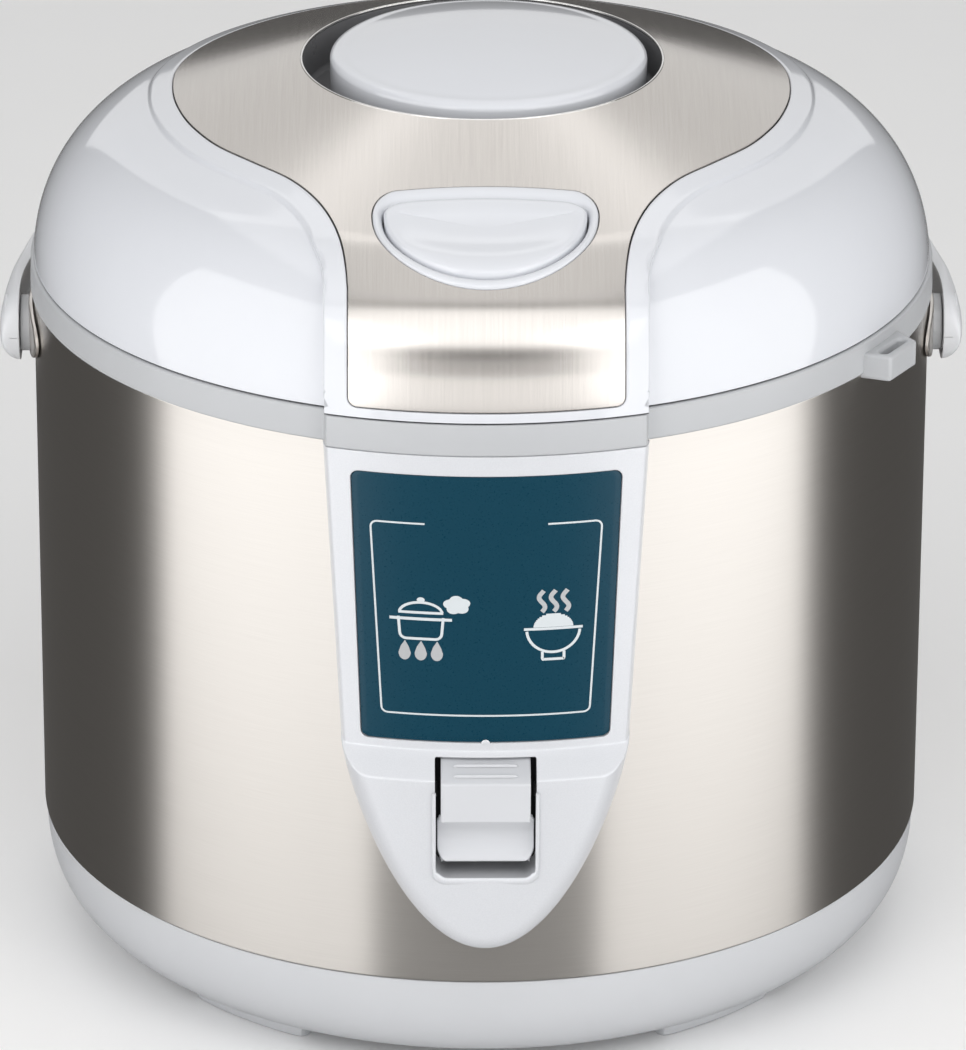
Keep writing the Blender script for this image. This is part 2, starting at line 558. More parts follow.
# ------------------------------------------------------------------ release button
def moon_rings(spec, body, name, mat, slot, cad, centre=None):
    """rings of (offset, depth below the trim surface) from out to in"""
    Vv = []
    for o, d in spec:
        P = moon(o)
        q = plan(P[:, 0], P[:, 1], 0.0)
        q[:, 2] += d
        Vv.append(q)
    n = len(Vv[0])
    Vv = np.array(Vv)
    ff = gridfaces(len(spec), n, wrap_c=True)
    verts = Vv.reshape(-1, 3)
    if centre is not None:
        c = []
        base = moon(spec[-1][0])
        mid = np.array([0, MOONC - 7.0])
        m = len(verts)
        rings = []
        for t in (0.85, 0.7, 0.55, 0.4, 0.25, 0.12):
            P = mid + (base - mid) * t
            q = plan(P[:, 0], P[:, 1], 0.0); q[:, 2] += spec[-1][1] - centre * (1 - t * t)
            rings.append(q)
        q = plan(np.array([mid[0]]), np.array([mid[1]])); q[:, 2] += spec[-1][1] - centre
        verts = np.concatenate([verts] + rings + [q])
        ff += gridfaces(len(rings) + 1, n, wrap_c=True, base=m - n)
        k0 = m + (len(rings) - 1) * n; ci = len(verts) - 1
        ff += [(k0 + j, k0 + (j + 1) % n, ci) for j in range(n)]
    return make(name, verts, ff, body, mat, slot, 50, cad=cad)


moon_rings([(3.2, -5), (3.2, -0.1), (3.1, 0.25), (2.8, 0.45), (2.3, 0.45), (1.4, 0.1), (0.75, -0.7), (0.5, -1.4), (0.45, -9)], LID, "button_frame", "lid_plastic", "lid_plastic", ("button_surround",))
moon_rings([(0.0, -8), (0.0, -0.5), (-0.12, 0.1), (-0.5, 0.45), (-1.1, 0.6), (-2.2, 0.6), (-4.0, 0.45)], "release_button", "button_cap", "lid_plastic", "lid_plastic", ("release_button",), centre=1.0)

# ------------------------------------------------------------------ steam cap
CR = 47.1
cap = rounded([(14.6, ZT - 11.5), (16.4, ZT - 11.5), (16.4, ZT + 1.0), (CR - 2.4, ZT - 1.5), (CR - 2.4, ZT - 11.6), (CR, ZT - 11.6), (CR, ZT + 0.7)], 0.4, 3)
t = np.linspace(0, 1, 10)
edge = np.stack([CR - 4.5 * (1 - np.cos(t * math.pi / 2)) , ZT + 0.7 + 2.6 * np.sin(t * math.pi / 2)], -1)
dome = np.array([(CR - 4.5 - x, ZT + 3.3 + 4.3 * (1 - (1 - x / (CR - 4.5)) ** 2.2)) for x in np.linspace(0, CR - 4.5, 26)[1:]])
v, f = revolve(np.concatenate([cap, edge[1:], dome]), 192)
rr_ = np.hypot(v[:, 0], v[:, 1])
v = v + np.stack([1.9 * sstep(rr_, 19, 42), 0 * rr_, 0 * rr_], -1)
cap_o = make("steam_cap", v, f, "steam_vent_cap", "lid_plastic", "lid_plastic", 40, cad=("steam_vent_cap",))

# ------------------------------------------------------------------ base, feet
ts = np.linspace(0, 90, 40)
bp = np.stack([R - 24.6 + 24 * np.cos(np.radians(ts)).clip(0) ** 1.139, G - 32.5 + 32.5 * (1 - np.sin(np.radians(ts)) ** 0.7186)], -1)[::-1]
prof = np.concatenate([[(R - 31.3, FOOT + 2.4), (R - 31.3, FOOT + 0.3), (R - 31.0, FOOT)], bp[bp[:, 0] > R - 30.9][:-1], rounded([(R - 0.6, G - 2), (R - 0.6, G - 0.15), (R - 1.4, G - 0.15)], 0.35, 3)])
v, f = revolve(prof, 240)
base = make("base_shell", v, f, BODY, "base_plastic", "base_plastic", 45)
# opening for the inlet
boolean(base, [prism([(-15.3, FOOT + 5.7), (15.3, FOOT + 5.7), (15.3, FOOT + 28.3), (-15.3, FOOT + 28.3)], 100, 160, "y")])
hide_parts("base_housing")
fv, ff = [], []
for c in (38.5, 141.5, 218.5, 321.5):
    c = c  # angle from the front
    A = []
    arc = np.radians(np.concatenate([[-10.6, -10.6], np.linspace(-10.2, 10.2, 24), [10.6, 10.6]]) + c)
    w = np.concatenate([[0, 0.72], np.ones(24), [0.72, 0]])
    w[2], w[-3] = 0.93, 0.93
    for ro_, z in ((1.0, 7.2), (1.0, 0.9), (0.93, 0.25), (0.82, 0.0), (-0.82, 0.0), (-0.93, 0.25), (-1.0, 0.9), (-1.0, 7.2)):
        r_ = 108 + 7 * ro_ * w
        zt = np.full(len(arc), z)
        if z > 5:
            zt = np.full(len(arc), float(np.interp(115, bp[:, 0], bp[:, 1])) + 0.5 if ro_ > 0 else FOOT + 0.3)
        A.append(np.stack([r_ * np.sin(arc), -r_ * np.cos(arc), zt], -1))
    A = np.array(A)
    k = sum(len(x) for x in fv)
    fv.append(A.reshape(-1, 3)); ff += gridfaces(A.shape[0], A.shape[1], base=k)
make("foot_pads", np.concatenate(fv), ff, BODY, "base_plastic", "base_plastic", 40, cad=("feet",))

# ------------------------------------------------------------------ steel body
pb = rounded([(R - 2, G + 0.25), (R, G + 0.25), (R - 0.6, CZ - 0.2), (R - 2.4, CZ - 0.2)], 0.25, 3)
mid = np.array([(R - 0.6 * k, G + 0.6 + (CZ - G - 1.1) * k) for k in np.linspace(0, 1, 20)])
v, f = revolve(np.concatenate([pb[:5], mid, pb[-5:]]), 256)
make("steel_wall", v, f, BODY, "brushed_steel", "brushed_steel", 45, cad=("body_shell",))

# ------------------------------------------------------------------ collar
ang = np.radians(np.concatenate([np.linspace(-180, -24, 110), np.linspace(-23.8, -16, 44), np.linspace(-15.5, 15.5, 36), np.linspace(16, 23.8, 44), np.linspace(24, 180, 110)[:-1]]))
rows = []
cp = rounded([(-5, CZ), (0.4, CZ), (0.1, CT), (-22, CT), (-22, CZ - 2.6), (-19.5, CZ - 2.6), (-19.5, CT - 2.4), (-5, CT - 2.4)], 0.7, 4, closed=True)
for dr, z in cp:
    x = (R + 4) * np.sin(ang)
    b = np.where(np.cos(ang) > 0, 1 - sstep(np.abs(x), 45.0, 47.4), 0)
    r_ = R + dr + 4.2 * b * (1 if dr > -5 else 0)
    rows.append(np.stack([r_ * np.sin(ang), -r_ * np.cos(ang), np.full(len(ang), z + (0.14 if z > CT - 1 and dr > -5 else 0))], -1))
rows = np.array(rows)
collar = make("collar_ring", rows.reshape(-1, 3), gridfaces(rows.shape[0], rows.shape[1], wrap_c=True, wrap_r=True), BODY, "collar_plastic", "collar_plastic", 45)
KY = -122.0
boolean(collar, [prism([(-11, KY - 12), (11, KY - 12), (11, KY + 0.9), (-11, KY + 0.9)], CZ - 1, CT + 1)])
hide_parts("upper_collar")


def slab(name, outline, z0, z1, mat, slot, body, bevel=0.8, cad=(), sharp=35, segs=3, axis="z", hole=None):
    n = len(outline)
    V = []
    for h in (z0, z1):
        for p in outline:
            V.append((p[0], p[1], h) if axis == "z" else ((p[0], h, p[1]) if axis == "y" else (h, p[0], p[1])))
    f = [tuple(range(n)), tuple(range(2 * n - 1, n - 1, -1))] + [(i, (i + 1) % n, n + (i + 1) % n, n + i) for i in range(n)]
    o = make(name, V, f, body, mat, slot, sharp, cad=cad)
    if bevel:
        m = o.modifiers.new("bv", "BEVEL"); m.width = bevel / 1000; m.segments = segs; m.limit_method = "ANGLE"; m.angle_limit = math.radians(40)
    return o


# ------------------------------------------------------------------ utensil bracket
az = math.radians(-33)


def pol(r, t):  # r outwards, t sideways at the bracket
    return (r * math.cos(az) - t * math.sin(az), r * math.sin(az) + t * math.cos(az))


br = slab("utensil_hook", [pol(R - 1.5, -6.5), pol(R + 8.0, -4.2), pol(R + 8.0, 11.4), pol(R - 1.5, 16)], CT - 11.0, CT - 3.2, "collar_plastic", "collar_plastic", BODY, 0)
slot_o = [pol(R + 4.0 + 1.35 * math.cos(t), (9.0 if math.sin(t) > 0 else -1.2) + 1.35 * math.sin(t)) for t in np.linspace(0, 2 * math.pi, 32, endpoint=False)]
boolean(br, [prism(slot_o, CZ - 20, CZ + 30)])
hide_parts("utensil_bracket")
bv = br.modifiers.new("bv", "BEVEL"); bv.width = 0.0009; bv.segments = 3; bv.limit_method = "ANGLE"; bv.angle_limit = math.radians(45)

# ------------------------------------------------------------------ front bezel


CHIN_L = 63.2


def chin(s):
    s = np.asarray(s, float)
    return np.where(s >= 78, 41.5 + (s - 78) * 0.0515, 41.5 * np.sqrt(np.maximum(0, 1 - (np.maximum(0, 78 - s) / CHIN_L) ** 1.27)))


ss = np.concatenate([78 - CHIN_L * np.cos(np.radians(np.linspace(0.5, 60, 60))), np.linspace(48.6, 69.2, 30), np.linspace(69.5, 80, 50), np.linspace(81, 167.6, 50), np.linspace(168, 169.25, 5)])
uu = np.sin(np.linspace(-1, 1, 121) * math.pi / 2)
oc = np.array([(float(chin(s)), s) for s in np.concatenate([78 - CHIN_L * np.cos(np.radians(np.linspace(0, 90, 90))), np.linspace(79, 175, 60)])])
SS, UU = np.meshgrid(ss, uu, indexing="ij")
XX = UU * chin(SS)
d = np.full(XX.shape, 1e9)
for a, b in zip(oc[:-1], oc[1:]):
    ab = b - a
    tt = np.clip(((np.abs(XX) - a[0]) * ab[0] + (SS - a[1]) * ab[1]) / (ab @ ab), 0, 1)
    d = np.minimum(d, np.hypot(np.abs(XX) - a[0] - tt * ab[0], SS - a[1] - tt * ab[1]))


def edge_r(d, w, p=2.0):
    t = np.clip(d / w, 0, 1)
    return (1 - (1 - t) ** p) ** (1 / p)


def smin(a, b, k):
    h = np.clip(0.5 + 0.5 * (b - a) / k, 0, 1)
    return b * (1 - h) + a * h - k * h * (1 - h)


def smax(a, b, k):
    return -smin(-a, -b, k)


r_up = R + 0.3 + (SPR - R - 0.3) * edge_r(d, 1.5)
r_ch = R + 2.6 + (13 - 2.6) * edge_r(d, 7.0, 2.1)
led = SPR + (77.5 - SS) / 5.9 * (R + 13 - SPR)
RR = np.where(SS > 79.5, r_up, smax(r_up, smin(r_ch, led, 0.4), 0.2))
RR = np.maximum(RR, R + 0.3)
RR = np.minimum(RR, R + 13.0)
front = np.stack([XX, -np.sqrt(RR**2 - XX**2), SS + G], -1)
back = np.stack([XX, -np.sqrt((R + 0.12) ** 2 - XX**2), SS + G], -1)
nr, nc = XX.shape
Vb = np.concatenate([front.reshape(-1, 3), back.reshape(-1, 3)])
F = gridfaces(nr, nc) + [tuple(reversed(q)) for q in gridfaces(nr, nc, base=nr * nc)]
o_ = nr * nc
for i in range(nr - 1):
    F += [(i * nc, o_ + i * nc, o_ + (i + 1) * nc, (i + 1) * nc), (i * nc + nc - 1, (i + 1) * nc + nc - 1, o_ + (i + 1) * nc + nc - 1, o_ + i * nc + nc - 1)]
for j in range(nc - 1):
    F += [(j, j + 1, o_ + j + 1, o_ + j), ((nr - 1) * nc + j, o_ + (nr - 1) * nc + j, o_ + (nr - 1) * nc + j + 1, (nr - 1) * nc + j + 1)]
bezel = make("front_panel", Vb, F, BODY, "panel_plastic", "panel_plastic", 40)


def rrect(x0, x1, z0, z1, r, n=6, top=None):
    top = r if top is None else top
    out = []
    for cx, cz, a, rr in ((x1 - r, z0 + r, -90, r), (x1 - top, z1 - top, 0, top), (x0 + top, z1 - top, 90, top), (x0 + r, z0 + r, 180, r)):
        for t in np.linspace(0, 90, n + 1):
            out.append((cx + rr * math.cos(math.radians(a + t)), cz + rr * math.sin(math.radians(a + t))))
    return out


def window(k):
    base = rrect(-1, 1, 0, 1, 0.0001, 1)
    out = []
    for cx, cz, a in ((35.9, 80.0, -90), (38.5, 163.3, 0), (-38.5, 163.3, 90), (-35.9, 80.0, 180)):
        rr = 2.4 + k
        sx = 1 if cx > 0 else -1; sz = 1 if cz > 100 else -1
        for t in np.linspace(0, 90, 9):
            out.append((cx - sx * 2.4 + rr * math.cos(math.radians(a + t)), G + cz - sz * 2.4 + rr * math.sin(math.radians(a + t))))
    return out


# shallow bed of the window: cut only as deep as a tube segment
bedV, bedF = [], []
W0 = window(0.0)
n = len(W0)
cutd = [(x, -math.sqrt(rr**2 - x * x), z) for rr in (SPR - 1.2, SPR + 8) for x, z in W0]
# fine grid cutter so that its floor follows the cylinder
gx = np.linspace(-1, 1, 41)
zz = np.array(sorted(set([round(p[1], 4) for p in W0])))


def half_at(z):
    xs = [p for p in W0 if p[0] > 0]
    zs = [p[1] for p in xs]; hx = [p[0] for p in xs]
    o = np.argsort(zs)
    return float(np.interp(z, np.array(zs)[o], np.array(hx)[o]))


zz = np.concatenate([zz[zz < G + 90], np.linspace(G + 84, G + 160, 24), zz[zz > G + 150]])
zz = np.unique(np.round(zz, 3))
lay = []
for rr in (SPR - 1.2, SPR + 8):
    lay.append(np.array([[(u * half_at(z), -math.sqrt(rr**2 - (u * half_at(z)) ** 2), z) for u in gx] for z in zz]))
a_, b_ = lay
nr2, nc2 = a_.shape[:2]
Vc = np.concatenate([a_.reshape(-1, 3), b_.reshape(-1, 3)])
Fc = gridfaces(nr2, nc2) + [tuple(reversed(q)) for q in gridfaces(nr2, nc2, base=nr2 * nc2)]
o_ = nr2 * nc2
for i in range(nr2 - 1):
    Fc += [(i * nc2, o_ + i * nc2, o_ + (i + 1) * nc2, (i + 1) * nc2), (i * nc2 + nc2 - 1, (i + 1) * nc2 + nc2 - 1, o_ + (i + 1) * nc2 + nc2 - 1, o_ + i * nc2 + nc2 - 1)]
for j in range(nc2 - 1):
    Fc += [(j, j + 1, o_ + j + 1, o_ + j), ((nr2 - 1) * nc2 + j, o_ + (nr2 - 1) * nc2 + j, o_ + (nr2 - 1) * nc2 + j + 1, (nr2 - 1) * nc2 + j + 1)]
cut1 = make("cutter", Vc, Fc, None, "lid_plastic")
pocket = prism([(x, z + G) for x, z in rrect(-14.6, 14.6, 40, 76.2, 3.6, 7, top=0.5)], -175, -110, "y")
boolean(bezel, [cut1, pocket])
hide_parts("front_bezel")

# teal window, set just below the bezel
lay = []
for rr, k in ((SPR - 1.1, 0.25), (SPR - 0.42, 0.25), (SPR - 0.3, 0.42)):
    lay.append(np.array([[(u * (half_at(z) - k), -math.sqrt(rr**2 - (u * (half_at(z) - k)) ** 2), z + (k if z < G + 100 else -k) * (1 if (z < G + 81 or z > G + 162) else 0)) for u in gx] for z in zz]))
Vw = np.concatenate([x.reshape(-1, 3) for x in lay])
Fw = gridfaces(nr2, nc2, base=2 * nr2 * nc2)
rim = lambda L_: [L_ * nr2 * nc2 + j for j in range(nc2)] + [L_ * nr2 * nc2 + i * nc2 + nc2 - 1 for i in range(1, nr2)] + [L_ * nr2 * nc2 + (nr2 - 1) * nc2 + j for j in range(nc2 - 2, -1, -1)] + [L_ * nr2 * nc2 + i * nc2 for i in range(nr2 - 2, 0, -1)]
for L_ in (0, 1):
    A, B = rim(L_), rim(L_ + 1)
    Fw += [(A[i], A[(i + 1) % len(A)], B[(i + 1) % len(A)], B[i]) for i in range(len(A))]
make("teal_window", Vw, Fw, BODY, "teal_window", "teal_window", 40, cad=("display_window",))

# ------------------------------------------------------------------ printed lines
PR = SPR - 0.24


def ribbon(pts, w):
    """flat band of width w along points (x, s) on the window"""
    pts = np.array(pts, float)
    T = np.gradient(pts, axis=0); T /= np.maximum(1e-9, np.linalg.norm(T, axis=1, keepdims=True))
    Nn = np.stack([-T[:, 1], T[:, 0]], -1)
    a, b = pts + Nn * w / 2, pts - Nn * w / 2
    V = []
    for q in (a, b):
        for x, s in q:
            V.append((x, -math.sqrt(PR**2 - x * x), s + G))
    n = len(pts)
    return V, [(i, i + 1, n + i + 1, n + i) for i in range(n - 1)]


def fill(pts):
    pts = np.array(pts, float)
    V = [(x, -math.sqrt(PR**2 - x * x), s + G) for x, s in pts]
    return V, [tuple(range(len(pts)))]


def seg(a, b, n=12):
    return [(a[0] + (b[0] - a[0]) * t, a[1] + (b[1] - a[1]) * t) for t in np.linspace(0, 1, n)]


def arc(c, rx, ry, a0, a1, n=20):
    return [(c[0] + rx * math.cos(math.radians(t)), c[1] + ry * math.sin(math.radians(t))) for t in np.linspace(a0, a1, n)]


def join(parts, name, mat):
    V, F = [], []
    for v, f in parts:
        k = len(V)
        V += list(v); F += [tuple(i + k for i in q) for q in f]
    return make(name, V, F, BODY, mat, "teal_window", 60)


lines = []
TOPZ, BOT = 148.2, 88.6
lines.append(ribbon(seg((-17.5, TOPZ), (-31.0, TOPZ)) + arc((-31.0, TOPZ - 1.8), 1.8, 1.8, 90, 180, 6)[1:] + seg((-32.8, TOPZ - 1.8), (-29.9, BOT + 1.8), 20)[1:] + arc((-28.1, BOT + 1.8), 1.8, 1.8, 180, 270, 6)[1:]
                    + seg((-28.1, BOT), (28.1, BOT), 30)[1:] + arc((28.1, BOT + 1.8), 1.8, 1.8, -90, 0, 6)[1:] + seg((29.9, BOT + 1.8), (32.8, TOPZ - 1.8), 20)[1:] + arc((31.0, TOPZ - 1.8), 1.8, 1.8, 0, 90, 6)[1:] + seg((31.0, TOPZ), (17.5, TOPZ))[1:], 0.55))
# left pictogram: a lidded pot over three flames
cx, cy = -18.6, 117.0
lines.append(ribbon(seg((cx - 6.4, cy + 2.2), (cx - 6.0, cy - 2.8), 6) + arc((cx - 4.2, cy - 2.8), 1.8, 1.8, 180, 270, 5)[1:] + seg((cx - 4.2, cy - 4.6), (cx + 4.2, cy - 4.6), 8)[1:] + arc((cx + 4.2, cy - 2.8), 1.8, 1.8, -90, 0, 5)[1:] + seg((cx + 6.0, cy - 2.8), (cx + 6.4, cy + 2.2), 6)[1:], 0.8))
lines.append(ribbon(seg((cx - 8.9, cy + 1.6), (cx + 8.9, cy + 1.6)), 0.9))
lines.append(ribbon(arc((cx, cy + 3.2), 6.2, 3.6, 8, 172, 22), 0.8))
lines.append(ribbon(seg((cx - 6.4, cy + 3.6), (cx + 6.4, cy + 3.6)), 0.8))
lines.append(fill(arc((cx, cy + 7.6), 1.15, 0.8, 0, 350, 16)))
cloud = []
for t in np.linspace(0, 2 * math.pi, 72, endpoint=False):
    w_ = 0.82 + 0.2 * abs(math.sin(2.5 * t + 0.5))
    cloud.append((cx + 10.3 + 3.9 * w_ * math.cos(t), cy + 6.3 + 2.9 * w_ * math.sin(t)))
lines.append(fill(cloud))
# right pictogram: a bowl with three wisps of steam
bx_, by_ = 19.2, 115.6
lines.append(ribbon(seg((bx_ - 8.4, by_), (bx_ + 8.4, by_)), 0.8))
lines.append(ribbon(arc((bx_, by_ - 0.2), 7.6, 7.2, 184, 356, 26), 0.8))
lines.append(ribbon(seg((bx_ - 3.1, by_ - 7.2), (bx_ - 3.1, by_ - 9.4), 4) + seg((bx_ - 3.1, by_ - 9.6), (bx_ + 3.1, by_ - 9.6), 6) + seg((bx_ + 3.1, by_ - 9.4), (bx_ + 3.1, by_ - 7.2), 4), 0.8))
for k in range(9):
    yr = 0.72 + 0.46 * k
    hr = 5.7 * math.sqrt(1 - ((yr - 0.4) / 4.3) ** 2)
    lines.append(ribbon(seg((bx_ - hr, by_ + yr), (bx_ + hr, by_ + yr), 14), 0.49))
join(lines, "print_lines", "print")
dim = []
for x in (-3.3, 0.1, 3.5):
    dim.append(ribbon([(bx_ + x + 0.85 * math.sin(t * 2.2 * math.pi), by_ + 5.3 + 6.6 * t) for t in np.linspace(0, 1, 26)], 1.35))
for x in (-4.6, 0, 4.6):
    p = arc((cx + x, cy - 9.1), 1.75, 2.3, 180, 360, 12) + [(cx + x + 1.15, cy - 7.2), (cx + x + 0.1, cy - 5.2), (cx + x - 1.1, cy - 7.1)]
    dim.append(fill(p))
join(dim, "print_flames", "print_dim")

# small half-round notch under the window
nv = []
for i, zq in enumerate((0.0, 0.35)):
    for t in np.linspace(0, 180, 13):
        x = 1.35 * math.cos(math.radians(t)) * (1 - 0.25 * i); z = G + 79.7 + 1.35 * math.sin(math.radians(t)) * (1 - 0.25 * i)
        nv.append((x, -(SPR - 0.15 + zq), z))
nf = [(i, i + 1, 13 + i + 1, 13 + i) for i in range(12)] + [tuple(range(13, 26))]
make("window_tab", nv, nf, BODY, "panel_plastic", "panel_plastic", 40)

# ------------------------------------------------------------------ lever
LW = 12.9


def extrude_x(name, yz, x0, x1, mat, body, bevel, cad=()):
    return slab(name, yz, x0, x1, mat, "lever_plastic", body, bevel, cad, axis="x")


blk = extrude_x("lever_block", [(-R - 13.0, G + 58.6), (-R - 13.0, G + 70.9), (-R - 5.2, G + 75.3), (-R + 1, G + 75.3), (-R + 1, G + 70), (-R - 3, G + 58.6)], -LW, LW, "lever_plastic", "cook_lever", 0.45)
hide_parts("cook_lever")
yzs = [(-R - 11.6, 58.9), (-R - 9.0, 57.2), (-R - 7.6, 54.6), (-R - 7.8, 52.0), (-R - 9.4, 49.2), (-R - 11.2, 46.9), (-R - 11.7, 45.9), (-R - 11.0, 45.3), (-R - 7.5, 45.9)]
yzs = rounded(yzs, 1.2, 4)
gu = np.concatenate([[-1.0, -1.0, -0.985], np.linspace(-0.95, 0.95, 31), [0.985, 1.0, 1.0]])
Vt = []
for i, u in enumerate(gu):
    for y, z in yzs:
        c = min(4.3, max(0.0, 49.9 - z))
        hw = 13.95 - (5.0 - math.sqrt(25.0 - c * c))
        back_ = 1.4 if i in (0, len(gu) - 1) else (0.25 if i in (1, len(gu) - 2) else 0.0)
        side_ = 0.7 * abs(u) ** 4 * float(sstep(z, 46, 50)) * (1 - float(sstep(z, 55, 58)))
        Vt.append((u * hw, y - side_ + back_, z + G))
Vt = np.array(Vt)
kk = len(yzs)
Ft = gridfaces(len(gu), kk)
tongue = make("lever_tongue", Vt, Ft, "cook_lever", "lever_plastic", "lever_plastic", 50)
sol = tongue.modifiers.new("s", "SOLIDIFY"); sol.thickness = 0.0016; sol.offset = -1
ribs = []
for yb, zb in ((-R - 10.6, 72.25), (-R - 7.4, 74.05)):
    V = []
    for x in np.linspace(-9.4, 9.4, 24):
        t = min(1.0, (9.4 - abs(x)) / 1.2)
        h = 0.75 * math.sqrt(max(0, 1 - (1 - t) ** 2))
        for a in np.radians(np.linspace(-10, 190, 9)):
            V.append((x, yb - 0.55 * math.cos(a) * (0.4 + 0.6 * t), G + zb + h * max(-0.1, math.sin(a))))
    ribs.append((V, gridfaces(24, 9)))
V, F = [], []
for v, f in ribs:
    k = len(V); V += v; F += [tuple(i + k for i in q) for q in f]
make("lever_ribs", V, F, "cook_lever", "lever_plastic", "lever_plastic", 60)
# raised lip round the lower part of the pocket
lip = []
path_l = [(-14.9, z) for z in np.linspace(68.0, 44.2, 14)] + [(-10.9 - 4.0 * math.cos(a), 43.7 - 4.0 * math.sin(a)) for a in np.radians(np.linspace(10, 80, 8))] + [(x, 39.7) for x in np.linspace(-10.2, 10.2, 12)]
path_l += [(10.9 + 4.0 * math.sin(a), 43.7 - 4.0 * math.cos(a)) for a in np.radians(np.linspace(10, 80, 8))] + [(14.9, z) for z in np.linspace(44.2, 68.0, 14)]
path_l = np.array(path_l)
tl = np.gradient(path_l, axis=0); tl /= np.linalg.norm(tl, axis=1, keepdims=True)
for (x, z), (tx, tz) in zip(path_l, tl):
    lw = 1.1 if z < 42 else 0.55
    for a in np.radians(np.linspace(0, 360, 10, endpoint=False)):
        u, h = lw * math.cos(a), 0.42 * math.sin(a)
        lip.append((x - tz * u, -(R + 12.56) - h, z + tx * u + G))
make("pocket_lip", lip, gridfaces(len(path_l), 10, wrap_c=True), BODY, "panel_plastic", "panel_plastic", 60)
# pivot eyes in the sides of the pocket
for s in (-1, 1):
    v, f = [], []
    pr_ = rounded([(1.5, 0), (1.5, 1.2), (2.2, 1.2), (2.2, 0)], 0.2, 2)
    for r_, h in pr_:
        for a in np.linspace(0, 2 * math.pi, 24, endpoint=False):
            v.append((s * (14.55 - h * 0.5), -R - 5.5 + r_ * math.cos(a), G + 66.0 + r_ * math.sin(a)))
    make("pocket_eye_" + ("l" if s < 0 else "r"), v, gridfaces(len(pr_), 24, wrap_c=True), BODY, "black_plastic", "black_plastic", 50)
# dark lining behind the lever, closing the pocket
v = []
for i, s in enumerate(np.linspace(39, 78, 14)):
    for x in np.linspace(-15.5, 15.5, 15):
        v.append((x, -math.sqrt((R + 0.4) ** 2 - x * x), s + G))
make("pocket_lining", v, gridfaces(14, 15), BODY, "black_plastic", "black_plastic", 50)

# ------------------------------------------------------------------ handle
FA = math.radians(4)
ys = np.concatenate([-11.2 * np.cos(np.radians(np.linspace(7, 82, 15))), [0.0]])
cl = []
for y in ys:
    cl.append((R + 8.5, y, math.sqrt(max(0.0, 11.2**2 - y * y)), (1, 0), math.sqrt(max(0, 1 - (y / 11.2) ** 2))))
for a in np.concatenate([np.linspace(0.8, 24, 26), np.linspace(26, 90, 34)]):
    ar = math.radians(a)
    x, y = (R + 8.5) * math.cos(ar), 176 * math.sin(ar)
    nx, ny = math.cos(ar) / (R + 8.5), math.sin(ar) / 176
    l_ = math.hypot(nx, ny)
    h = 7.5 + 3.7 * (1 - float(sstep(y, 2, 40)))
    cl.append((x, y, h, (nx / l_, ny / l_), 1 - float(sstep(y, 0, 26))))
right = cl
left = [(-x, y, h, (-n_[0], n_[1]), b_) for x, y, h, n_, b_ in reversed(cl[:-1])]
allp = right + left
secs = []
TS = np.radians([90, 82, 72, 60, 46, 32, 18, 6, -6, -18, -32, -46, -60, -72, -82, -90])
for x, y, h, n_, bul in allp:
    w, hh, pw = 4.6, max(h, 0.02), 0.32 + 0.68 * bul
    k = min(1.0, max(0.0, (6 - hh) / 3))
    th = min(1.6, hh * 0.5) * (1 - k) + hh * 0.97 * k
    sec = [(-w + (w + 1.5 * bul) * abs(math.cos(t)) ** pw if abs(math.cos(t)) > 1e-6 else -w, hh * math.copysign(abs(math.sin(t)) ** (0.45 + 0.55 * bul), t)) for t in TS]
    q = 1 - k
    sec += [(-w, -hh + th), (-2.0, -hh + th + 0.1 * q), (-1.8, -hh * 0.5 * q), (-1.8, 0), (-1.8, hh * 0.5 * q), (-2.0, hh - th - 0.1 * q), (-w, hh - th)]
    secs.append([(x + n_[0] * u, y + n_[1] * u, z) for u, z in sec])
secs = np.array(secs)
y_, z_ = secs[..., 1].copy(), secs[..., 2].copy()
secs[..., 1] = y_ * math.cos(FA) - z_ * math.sin(FA)
secs[..., 2] = y_ * math.sin(FA) + z_ * math.cos(FA) + PZ
nh = secs.shape[1]
make("bail_handle", secs.reshape(-1, 3), gridfaces(secs.shape[0], nh, wrap_c=True) + [tuple(range(nh)), tuple(range(len(secs) * nh - 1, (len(secs) - 1) * nh - 1, -1))], "carry_handle", "handle_plastic", "handle_plastic", 45, cad=("carry_handle",))
# hubs inside the lobes
for s in (-1, 1):
    pr_ = rounded([(4.1, 0.2), (4.1, 4.6), (8.2, 4.6), (8.8, 0.2)], 0.4, 3)
    v = [(s * (R + 3.9 + (4.6 - h)), r_ * math.cos(a), PZ + r_ * math.sin(a)) for r_, h in pr_ for a in np.linspace(0, 2 * math.pi, 40, endpoint=False)]
    make("bail_hub_" + ("l" if s < 0 else "r"), v, gridfaces(len(pr_), 40, wrap_c=True), "carry_handle", "handle_plastic", "handle_plastic", 50)
# closed grip under the middle of the bow
gs = []
for a in np.radians(np.linspace(60, 120, 40)):
    x, y = (R + 8.5) * math.cos(a), 176 * math.sin(a)
    nx, ny = math.cos(a) / (R + 8.5), math.sin(a) / 176
    l_ = math.hypot(nx, ny); nx, ny = nx / l_, ny / l_
    dp = 4.0 + 6.0 * min(1.0, (1 - abs(math.degrees(a) - 90) / 30) * 4)
    sec = rounded([(-3.6, 6.6), (-dp, 6.2), (-dp - 0.8, 0), (-dp, -6.2), (-3.6, -6.6)], 1.4, 3)
    gs.append([(x + nx * u, (y + ny * u) * math.cos(FA) - z * math.sin(FA), (y + ny * u) * math.sin(FA) + z * math.cos(FA) + PZ) for u, z in sec])
gs = np.array(gs)
make("bail_grip", gs.reshape(-1, 3), gridfaces(gs.shape[0], gs.shape[1]), "carry_handle", "handle_plastic", "handle_plastic", 50)

